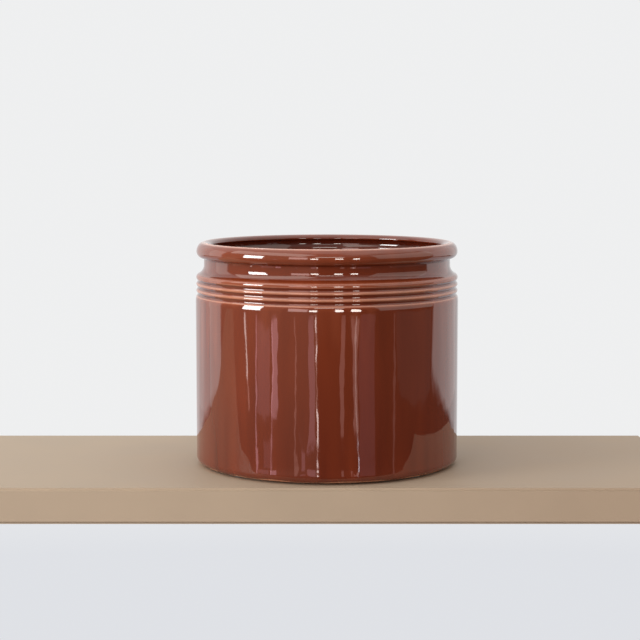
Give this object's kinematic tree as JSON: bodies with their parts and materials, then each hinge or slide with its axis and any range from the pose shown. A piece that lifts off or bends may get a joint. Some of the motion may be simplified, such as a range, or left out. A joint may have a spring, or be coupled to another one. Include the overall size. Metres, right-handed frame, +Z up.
{
  "type": "flower pot",
  "caption": "Glazed terracotta flower pot: straight round wall, grooved band, hollow neck and rolled rim, with a drain hole closed by a lift-out rubber plug.",
  "frame": {"origin": "centre of the circle that the pot stands on, at the height of the surface under its pads", "axes": "+Z up along the pot's axis, +X to the right and +Y away from the viewer of the picture; the pot is round, so its turn about Z is free"},
  "size_m": [0.2, 0.2, 0.1692],
  "materials": {
    "clay": "matte",
    "outer_glaze": "gloss",
    "inner_glaze": "gloss",
    "plug_rubber": "matte",
    "pad_rubber": "matte"
  },
  "bodies": {
    "pot": {"clay_body": "clay", "outer_glaze": "outer_glaze", "inner_glaze": "inner_glaze", "foot_pad_1": "pad_rubber", "foot_pad_2": "pad_rubber", "foot_pad_3": "pad_rubber", "foot_pad_4": "pad_rubber"},
    "plug": {"drain_plug": "plug_rubber"}
  },
  "joints": [
    {"name": "plug_lift", "type": "slide", "parent": "pot", "child": "plug", "axis": [0, 0, 1], "range_m": [0, 0.19]}
  ]
}
